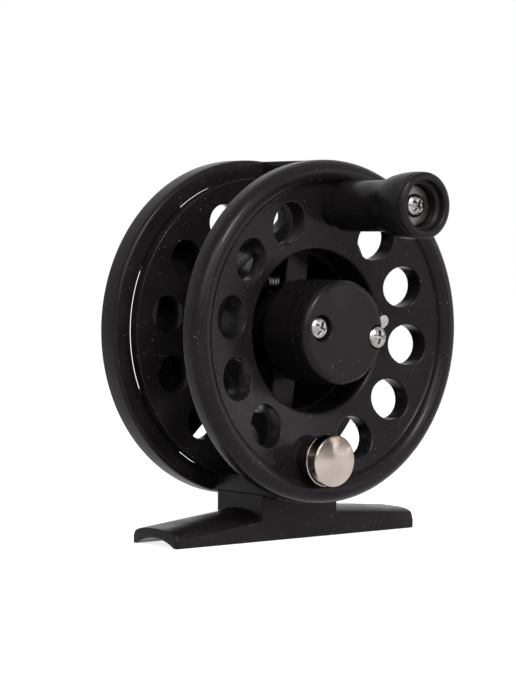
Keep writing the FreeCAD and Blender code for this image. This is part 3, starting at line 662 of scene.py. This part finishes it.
# Rear half of the spool
# One moulding: a thin flange with twelve holes, the back of the arbor, two ribs that
# carry the hub, and the sleeve for the gear.
spool_plastic = moulded("black_spool_plastic", (0.0064, 0.0056, 0.0061), 0.27, 0.8)
hole_phase = -7.9
rib_angle = hole_phase + 90
rear_flange_front, rear_flange_back, rear_flange_radius = 22.7, 24.8, 29.27
rear_hole_circle, rear_hole_radius = 22.2, 3.55
arbor_radius, arbor_root = 16.7, 22.76
hub_radius, hub_front, hub_step, hub_waist, hub_back = 9.87, 1.72, 9.1, 7.2, 24.9
bore, gear_bore, gear_bore_end = 3.55, 4.3, 17.0
rib_half, rib_reach, rib_front, rib_back = 2.75, (6.7, 15.5), 12.7, 14.6
form = bmesh.new()
loops = [(circle(0, 0, rear_flange_radius, 160), 0.2, 0.04), (circle(0, 0, 15.8, 120, True), 0.02, 0.1)]
for place in range(12):
    x, z = polar(rear_hole_circle, hole_phase + 30 * place)
    loops.append((circle(x, z, rear_hole_radius, 48, True), 0.15, 0.15))
slab(form, loops, rear_flange_front, rear_flange_back)
tube = softened([
    (15.2, 11.72, 0.1), (16.0, 11.72, 0.1), (16.0, 13.26), (arbor_radius, 13.26, 0.1),
    (arbor_radius, 17.0), (16.5, 17.2), (arbor_radius, 17.4),
    (arbor_radius, arbor_root, 0.6), (17.5, arbor_root), (17.5, 24.3), (16.2, 24.59), (15.2, 24.59, 0.2)], steps=5)
lathe(form, tube, turns=120)
hub_profile = softened([
    (bore, hub_front), (hub_radius, hub_front), (hub_radius, hub_step, 0.25), (hub_waist, hub_step + 0.2, 0.3),
    (hub_waist, hub_back, 0.15), (gear_bore, hub_back), (gear_bore, gear_bore_end), (bore, gear_bore_end)], steps=4)
lathe(form, hub_profile, turns=96)
collar = arc(hub_radius, 21, 339, 90) + arc(6.6, 327, 33, 60)
slab(form, [(collar, 0.02, 0.02)], 0.4, hub_front + 0.02)
for angle in (rib_angle, rib_angle + 180):
    swing = Matrix.Rotation(math.radians(angle), 2)
    corners = [(rib_reach[i], side * rib_half) for i, side in ((0, -1), (1, -1), (1, 1), (0, 1))]
    outline = [tuple(swing @ Vector(corner)) for corner in corners]
    slab(form, [(outline, 0.3, 0.3)], rib_front, rib_back)
solid_piece("rear_half_of_spool", form, spool_plastic, "spool", "spool_rear")

# Front half of the spool
# One moulding with the post and the boss below: a dished flange with a rolled rim and ten
# holes, and the front of the arbor, which slips over the rear half.
hole_circle, hole_radius = 22.03, 3.94
flange_depth, flange_dish, flange_thickness = 3.32, 0.25, 3.9
fillet_radius, fillet_outside, fillet_end = 1.2, 17.9, 9.45
bead_circle, bead_radius, rim_radius, rim_back = 30.3, 2.2, 32.5, 4.6
arbor_inner, mouth_radius = 15.45, 0.9
handle_centre, weight_circle = polar(23.97, rib_angle), 24.13
weight_centre = polar(weight_circle, rib_angle + 180)
sector_in, sector_out = 17.3, 27.7
side_steps, arc_steps = 7, 10


def flange_face(radius):
    return flange_depth - flange_dish * (radius - hole_circle)


def flange_back(radius):
    """The flange's back, which runs into the arbor over a fillet."""
    if radius > fillet_outside:
        return flange_face(radius) + flange_thickness
    return fillet_end - math.sqrt(max(0.0, fillet_radius ** 2 - (fillet_outside - radius) ** 2))


def sector_border():
    """Points round one twelfth of the flange, a hole's share, seen from the hole."""
    out = [polar(sector_out, -15 + 30 * i / arc_steps) for i in range(arc_steps)]
    down = [polar(sector_out + (sector_in - sector_out) * i / side_steps, 15) for i in range(side_steps)]
    back = [polar(sector_in, 15 - 30 * i / arc_steps) for i in range(arc_steps)]
    up = [polar(sector_in + (sector_out - sector_in) * i / side_steps, -15) for i in range(side_steps)]
    return [Vector(p) for p in out + down + back + up]


def holed_sector(form, middle, at_radius, radius, soft, floor=None):
    """A twelfth of the flange with a hole, right through or from behind down to a floor."""
    hub = Vector((at_radius, 0))
    swing = Matrix.Rotation(math.radians(middle), 2)
    ways = [(b, (b - hub).normalized()) for b in sector_border()]

    def row(points, depths):
        placed = [swing @ p for p in points]
        return [form.verts.new(at(p.x, d, p.y)) for p, d in zip(placed, depths)]

    def mouth(face, side):
        rows = []
        for share in (0, 0.35, 0.7, 0.9, 1.0):
            points = [b.lerp(hub + way * (radius + soft + 0.05), share) for b, way in ways]
            rows.append(row(points, [face(p.length) for p in points]))
        for step in range(5):
            part = math.radians(90 * step / 4)
            points = [hub + way * (radius + soft - soft * math.sin(part)) for b, way in ways]
            sink = side * soft * (1 - math.cos(part))
            rows.append(row(points, [face(p.length) + sink for p in points]))
        return rows

    if floor is None:
        ringed(form, mouth(flange_face, 1) + mouth(flange_back, -1)[::-1])
    else:
        wall = [row([hub + way * radius * share for b, way in ways], [floor] * len(ways)) for share in (1, 0.2)]
        ringed(form, mouth(flange_back, -1) + wall)


def plain_sector(form, middle, faces):
    for face in faces:
        grid = []
        for i in range(side_steps + 1):
            radius = sector_out + (sector_in - sector_out) * i / side_steps
            line = []
            for j in range(arc_steps + 1):
                x, z = polar(radius, middle - 15 + 30 * j / arc_steps)
                line.append(form.verts.new(at(x, face(radius), z)))
            grid.append(line)
        for low, high in zip(grid, grid[1:]):
            for j in range(arc_steps):
                form.faces.new((low[j], low[j + 1], high[j + 1], high[j]))


form = bmesh.new()
for place in range(12):
    middle = hole_phase + 30 * place
    if place == 3:
        plain_sector(form, middle, (flange_face, flange_back))
    elif place == 9:
        plain_sector(form, middle, (flange_face,))
        holed_sector(form, middle, weight_circle, 2.2, 0.1, 5.5)
    else:
        holed_sector(form, middle, hole_circle, hole_radius, 0.35)
bead = [polar(bead_radius, angle) for angle in range(160, -1, -8)]
outside = [(sector_out, flange_face(sector_out)), (28.0, flange_face(28.0))]
outside += [(bead_circle + x, bead_radius - z, 0) for x, z in bead]
outside += [(rim_radius, rim_back, 0.55), (28.85, rim_back, 0.3), (28.05, flange_back(28.05), 0.3),
            (sector_out, flange_back(sector_out))]
lathe(form, softened(outside, closed=False), turns=120, first=hole_phase - 15, closed=False)
fillet = [polar(fillet_radius, angle) for angle in (45, 30, 15, 0)]
inside = [(sector_in, flange_back(sector_in))]
inside += [(fillet_outside - x, fillet_end - z) for x, z in fillet]
inside += [(arbor_radius, 13.14, 0.08), (16.1, 13.14), (16.1, 11.65), (arbor_inner, 11.65, 0.1), (arbor_inner, 5.75)]
mouth = [polar(mouth_radius, angle) for angle in (15, 35, 55, 72)]
inside += [(arbor_inner + mouth_radius - x, 5.66 - z) for x, z in mouth]
inside += [(16.5, flange_face(16.5)), (sector_in, flange_face(sector_in))]
lathe(form, softened(inside, closed=False), turns=120, first=hole_phase - 15, closed=False)
solid_piece("front_half_of_spool", form, spool_plastic, "spool", "spool_front", 50)

# Handle post and counterweight boss
# Both moulded on the front flange, opposite each other: a slim post with a step at its
# foot for the grip to turn on, and a short round boss under the button.
post_radius, post_end = 3.0, -18.05
boss_radius, boss_end = 3.8, -1.6
form = bmesh.new()
post = [(0, 5), (3.9, 5), (3.9, 1.2, 0.15), (post_radius, 1.2, 0.2), (post_radius, post_end, 0.2), (0, post_end)]
lathe(form, softened(post, closed=False), centre=handle_centre, turns=48, closed=False)
boss = [(0, 5), (4.6, 5), (4.2, flange_face(24), 0.6), (boss_radius, 2.2, 0.8), (boss_radius, boss_end, 0.15),
        (0, boss_end)]
lathe(form, softened(boss, closed=False), centre=weight_centre, turns=64, closed=False)
solid_piece("post_and_boss", form, spool_plastic, "spool", "spool_front")

# Hub cap
# A shallow round cover with a softly rounded front edge, over the hub. One screw sits in a
# seat near the middle; the latch's screw sits in a seat that breaks out at the edge.
cap_plastic = moulded("black_cap_plastic", (0.0068, 0.0061, 0.0065), 0.26, 0.6)
cap_radius, cap_front, cap_back, cap_soft = hub_radius, -3.3, 0.4, 1.25
bite_radius, bite_edge, back_edge = 2.35, 0.12, 0.15
hub_screw_at, hub_seat = (-5.7, 0.9), -1.9
latch_at, latch_seat = (8.4, -1.05), -2.6


def bitten_circle(radius, bite, steps=108, bite_steps=16):
    """A circle with a round bite out of its edge, walked counter-clockwise."""
    centre = Vector(latch_at)
    side = math.degrees(math.acos((radius ** 2 + centre.length ** 2 - bite ** 2) / (2 * radius * centre.length)))
    lean = math.degrees(math.atan2(centre.y, centre.x))
    turn = math.degrees(math.acos((bite ** 2 + centre.length ** 2 - radius ** 2) / (2 * bite * centre.length)))
    outer = arc(radius, lean + side, lean + 360 - side, steps)
    inner = [centre + Vector(p) for p in arc(bite, lean + 180 + turn, lean + 180 - turn, bite_steps)]
    return outer, [tuple(p) for p in inner][1:-1], arc(radius, lean - side, lean + side, bite_steps)


def cap_edge(depth):
    """The cap's radius at a depth on its rounded front edge."""
    up = max(0.0, cap_soft - (depth - cap_front))
    return cap_radius - cap_soft + math.sqrt(cap_soft ** 2 - up ** 2)


form = bmesh.new()
outer, inner, closing = bitten_circle(cap_edge(cap_front) - 0.04, bite_radius + bite_edge + 0.04)
rows = [[form.verts.new(at(x, cap_front, z)) for x, z in outer + inner]]
for step in range(9):
    depth = cap_front + (latch_seat - cap_front) * (step / 8) ** 2
    bite = bite_radius + max(0.0, bite_edge - (depth - cap_front))
    outer, inner, closing = bitten_circle(cap_edge(depth), bite)
    rows.append([form.verts.new(at(x, depth, z)) for x, z in outer + inner])
ringed(form, rows)
seat = []
for radius, depth in ((2.75, cap_front), (2.7, cap_front), (2.62, cap_front + 0.03), (2.54, cap_front + 0.1),
                      (2.5, cap_front + 0.2), (2.5, hub_seat), (0.3, hub_seat)):
    seat.append([form.verts.new(at(x, depth, z)) for x, z in circle(*hub_screw_at, radius)])
ringed(form, seat)
fill(form, [rows[0], seat[0]])
floor = [outer[-1]] + inner + [outer[0]] + closing[-2:0:-1]
fill(form, [[form.verts.new(at(x, latch_seat, z)) for x, z in floor]])
rim = outer + closing[1:-1]
rim_depths = [latch_seat + (cap_front + cap_soft - latch_seat) * step / 8 for step in range(9)]
rows = []
for depth in rim_depths + [cap_back - back_edge, cap_back]:
    share = (cap_edge(depth) - (back_edge if depth == cap_back else 0)) / cap_edge(latch_seat)
    rows.append([form.verts.new(at(x * share, depth, z * share)) for x, z in rim])
ringed(form, rows)
fill(form, [rows[-1]])
solid_piece("round_cap", form, cap_plastic, "spool", "hub_cap")

# The two screws in the cap
# Zinc-plated cross-head screws: one beside the middle, one at the edge on which the
# latch turns.
form = bmesh.new()
cross_head(form, hub_screw_at, 2.25, hub_seat - 1.2, hub_seat, 28)
shank(form, hub_screw_at, 1.0, hub_seat, 8.0)
solid_piece("screw_beside_middle", form, zinc_plate, "spool", "hub_screw", 60)
form = bmesh.new()
cross_head(form, latch_at, 2.2, latch_seat - 1.1, latch_seat, 5)
shank(form, latch_at, 0.9, latch_seat, 7.0)
solid_piece("screw_at_edge", form, zinc_plate, "spool", "latch_screw", 60)

# Spool latch and its leaf spring
# A stamped steel rocker under the cap; its rounded thumb end stands out beside the hub.
latch_steel = metal("stamped_steel", (0.30, 0.29, 0.29), 0.3, smudge=0.35)
dress("latch_lever", latch_steel, 0.12)
dress("latch_spring", spring_steel)

# Handle: grip, washer and screw
# A flared black grip turns on the post; a washer and a cross-head screw deep in its
# mouth keep it there.
grip_plastic = moulded("black_grip_plastic", (0.0055, 0.0049, 0.0052), 0.32, 0.5)


def sweep(start, through, end, steps=8):
    """Points along the arc through three points, without the first."""
    a, b, c = Vector(start), Vector(through), Vector(end)
    across, up = b - a, c - a
    twice = 2 * across.cross(up)
    middle = a + Vector((up.y * across.length_squared - across.y * up.length_squared,
                         across.x * up.length_squared - up.x * across.length_squared)) / twice
    turn = (a - middle).angle_signed(c - middle)
    return [(*(middle + Matrix.Rotation(-turn * i / steps, 2) @ (a - middle)), 0) for i in range(1, steps + 1)]


waist, half_way_out, grip_end = (4.8, -10.2), (5.65, -14.3), (6.2, -20.37)
flare = [(*waist, 0)] + sweep(waist, (5.1, -12.3), half_way_out) + sweep(half_way_out, (6.05, -16.6), grip_end)
grip_profile = [(3.05, 1.0, 0.1), (3.9, 1.0, 0.3), (4.8, 0.1, 0.4)] + flare + [
    (5.85, -20.52, 0.05), (5.85, -20.72, 0.05), (6.2, -20.88, 0.2), (6.1, -21.6, 0.35), (5.5, -21.92, 0.3),
    (4.85, -21.92, 0.2), (4.6, -21.7, 0.2), (4.6, -20.4, 0.1), (3.9, -20.1, 0.15), (3.9, -17.85), (3.05, -17.85)]
form = bmesh.new()
lathe(form, softened(grip_profile, steps=3), centre=handle_centre, turns=96)
solid_piece("grip", form, grip_plastic, "grip", "handle_grip", 45)
# The washer's zinc is painted near black: painted shade for its place deep in the grip's mouth.
zinc_painted_dark_for_shade = metal("zinc_painted_dark_for_shade", (0.11, 0.105, 0.10), 0.30)
dress("handle_washer", zinc_painted_dark_for_shade)
handle_seat = -18.55
form = bmesh.new()
cross_head(form, handle_centre, 2.2, handle_seat - 1.05, handle_seat, 40)
shank(form, handle_centre, 1.0, handle_seat, -9.3)
solid_piece("screw_in_grip", form, zinc_plate, "spool", "handle_screw", 60)

# Counterweight
# A domed button of nickel-plated brass on a black boss, held by a screw from behind. Its
# upper half is darkened in brownish patches: a painted dark reflection.
nickel = metal("nickel_plate", (0.36, 0.31, 0.28), 0.16, cloud=18, smudge=0.12)
plating = nickel.node_tree
shade = plating.nodes["Principled BSDF"]
bright_plate = shade.inputs["Base Color"].links[0].from_socket
place = plating.nodes.new("ShaderNodeTexCoord").outputs["Object"]
split = plating.nodes.new("ShaderNodeSeparateXYZ")
plating.links.new(place, split.inputs[0])
# Painted dark reflection: noise patches, kept to the button's upper half, mix dark brown into the plating in place
# of the dark surroundings it reflects.
upward = plating.nodes.new("ShaderNodeMapRange")
upward.inputs["From Min"].default_value = (axis_height + weight_centre[1] - 0.2) * 0.001
upward.inputs["From Max"].default_value = (axis_height + weight_centre[1] + 3.2) * 0.001
plating.links.new(split.outputs["Z"], upward.inputs["Value"])
dark_reflection_noise = plating.nodes.new("ShaderNodeTexNoise")
dark_reflection_noise.inputs["Scale"].default_value = 420
dark_reflection_noise.inputs["Detail"].default_value = 7
dark_reflection_noise.inputs["Distortion"].default_value = 0.6
plating.links.new(place, dark_reflection_noise.inputs["Vector"])
dark_reflection_patches = plating.nodes.new("ShaderNodeMapRange")
dark_reflection_patches.inputs["From Min"].default_value = 0.30
dark_reflection_patches.inputs["From Max"].default_value = 0.48
plating.links.new(dark_reflection_noise.outputs["Fac"], dark_reflection_patches.inputs["Value"])
amount = plating.nodes.new("ShaderNodeMath")
amount.operation = "MULTIPLY"
plating.links.new(upward.outputs["Result"], amount.inputs[0])
plating.links.new(dark_reflection_patches.outputs["Result"], amount.inputs[1])
painted_dark_reflection = plating.nodes.new("ShaderNodeMix")
painted_dark_reflection.data_type = "RGBA"
painted_dark_reflection.inputs["B"].default_value = (0.09, 0.072, 0.064, 1)
plating.links.new(amount.outputs[0], painted_dark_reflection.inputs["Factor"])
plating.links.new(bright_plate, painted_dark_reflection.inputs["A"])
plating.links.new(painted_dark_reflection.outputs["Result"], shade.inputs["Base Color"])
button_radius, button_edge, dome_radius, dome_rise = 4.85, -4.6, 4.3, 0.5
dome = []
for step in range(1, 13):
    inward = 1 - step / 12
    dome.append((dome_radius * inward, button_edge - dome_rise * (1 - inward ** 2), 0))
button_profile = [(0, boss_end), (4.95, boss_end, 0.08), (4.95, -2.05, 0.12), (button_radius, -2.15, 0.05),
                  (button_radius, button_edge, 0.55)] + dome
form = bmesh.new()
lathe(form, softened(button_profile, closed=False, steps=8), centre=weight_centre, turns=96, closed=False)
solid_piece("plated_button", form, nickel, "spool", "counterweight", 50)
weight_seat = 5.5
form = bmesh.new()
cross_head(form, weight_centre, 2.0, weight_seat + 1.1, weight_seat, 15, -1)
shank(form, weight_centre, 1.1, weight_seat, -3.5)
solid_piece("screw_behind_button", form, zinc_plate, "spool", "counterweight_screw", 60)
